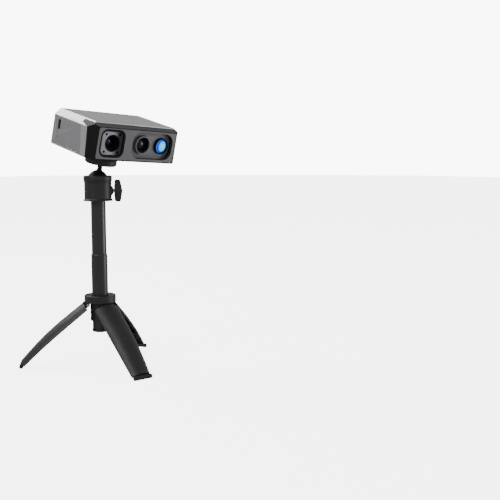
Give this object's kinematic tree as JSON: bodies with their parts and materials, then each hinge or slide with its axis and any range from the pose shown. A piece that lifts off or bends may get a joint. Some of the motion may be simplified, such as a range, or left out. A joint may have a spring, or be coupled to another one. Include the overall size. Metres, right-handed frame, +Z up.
{
  "type": "handheld 3D scanner on a mini tripod",
  "caption": "Pocket structured-light 3D scanner on a folding mini tripod with a ball head and a sliding pole.",
  "frame": {"origin": "middle of the bounding box's underside, on the ground the feet stand on", "axes": "+Z up along the pole; -Y is the way the scanner looks, before its nod of 14 degrees"},
  "size_m": [0.1424, 0.1306, 0.247],
  "materials": {
    "silver_shell": "anodised and bead-blasted, silver grey",
    "grey_panel": "anodised, mid grey",
    "gloss_black": "black with a soft gloss",
    "grey_face": "fine satin, grey with a faint purple tinge",
    "black_inset": "satin black",
    "satin_plate": "satin light metal",
    "dark_glass": "coated, almost black with a faint purple reflection",
    "blue_glass": "coated, cyan and deep blue reflection",
    "clear_plastic": "smoked",
    "black_plastic": "fine moulded grain",
    "black_rubber": "matt",
    "black_tube": "satin black",
    "steel": "bright",
    "bare_aluminium": "machined",
    "brass_insert": "turned",
    "circuit_board": "solder mask"
  },
  "bodies": {
    "base": {"leg_hub": "black_plastic", "lower_tube": "black_tube", "stub_sleeve": "black_plastic", "bottom_cap": "black_plastic", "hinge_pin_1": "steel", "hinge_pin_2": "steel", "hinge_pin_3": "steel"},
    "leg_1_body": {"leg_1": "black_plastic", "foot_pad_1": "black_rubber"},
    "leg_2_body": {"leg_2": "black_plastic", "foot_pad_2": "black_rubber"},
    "leg_3_body": {"leg_3": "black_plastic", "foot_pad_3": "black_rubber"},
    "mast": {"upper_tube": "black_tube", "slide_plug": "black_plastic", "clamp_housing": "black_plastic", "clamp_shoe": "steel"},
    "knob": {"wing_knob": "black_plastic", "knob_screw": "steel"},
    "seat": {"ball_seat": "black_plastic"},
    "ball": {"ball_stud": "steel", "platform": "black_plastic", "platform_pad": "black_rubber", "mount_stud": "steel"},
    "scanner": {"rear_shell": "silver_shell", "left_end_panel": "grey_panel", "right_end_panel": "grey_panel", "front_frame": "gloss_black", "front_plate": "grey_face", "mount_boss": "black_plastic", "window_bezel": "black_inset", "lamp_plate": "satin_plate", "camera_barrel": "black_inset", "camera_lens": "dark_glass", "recess_tray": "grey_face", "depth_lens_ring": "grey_panel", "depth_barrel": "black_inset", "depth_lens": "dark_glass", "projector_hood": "black_inset", "projector_lens": "blue_glass", "projector_barrel": "black_inset", "optical_bench": "bare_aluminium", "camera_board": "circuit_board", "depth_board": "circuit_board", "projector_engine": "bare_aluminium", "heat_sink": "bare_aluminium", "main_board": "circuit_board", "usb_socket": "steel", "light_pipe": "clear_plastic", "thread_insert": "brass_insert", "bench_screw_1": "steel", "bench_screw_2": "steel", "bench_screw_3": "steel", "bench_screw_4": "steel"}
  },
  "joints": [
    {"name": "leg_1_fold", "type": "hinge", "parent": "base", "child": "leg_1_body", "pos_m": [0.00764, 0.01766, 0.05912], "axis": [-0.4115, 0.9114, 0], "range_deg": [0, 48]},
    {"name": "leg_2_fold", "type": "hinge", "parent": "base", "child": "leg_2_body", "pos_m": [-0.0127, 0.01969, 0.05912], "axis": [-0.5835, -0.8121, 0], "range_deg": [0, 48]},
    {"name": "leg_3_fold", "type": "hinge", "parent": "base", "child": "leg_3_body", "pos_m": [-0.00429, 0.00106, 0.05912], "axis": [0.9951, -0.0993, 0], "range_deg": [0, 48]},
    {"name": "pole_slide", "type": "slide", "parent": "base", "child": "mast", "axis": [0, 0, 1], "range_m": [-0.05, 0]},
    {"name": "knob_turn", "type": "hinge", "parent": "mast", "child": "knob", "pos_m": [-0.00311, 0.0128, 0.16892], "axis": [0.8121, -0.5835, 0], "continuous": true},
    {"name": "ball_pan", "type": "hinge", "parent": "mast", "child": "seat", "pos_m": [-0.00311, 0.0128, 0.17892], "axis": [0, 0, 1], "continuous": true},
    {"name": "ball_tilt", "type": "hinge", "parent": "seat", "child": "ball", "pos_m": [-0.00311, 0.0128, 0.17892], "axis": [0.978, 0.2084, 0], "range_deg": [-54, 26]},
    {"name": "scanner_turn", "type": "hinge", "parent": "ball", "child": "scanner", "pos_m": [-0.00311, 0.0128, 0.17892], "axis": [0.0506, -0.2374, 0.9701], "range_deg": [-180, 180]}
  ]
}
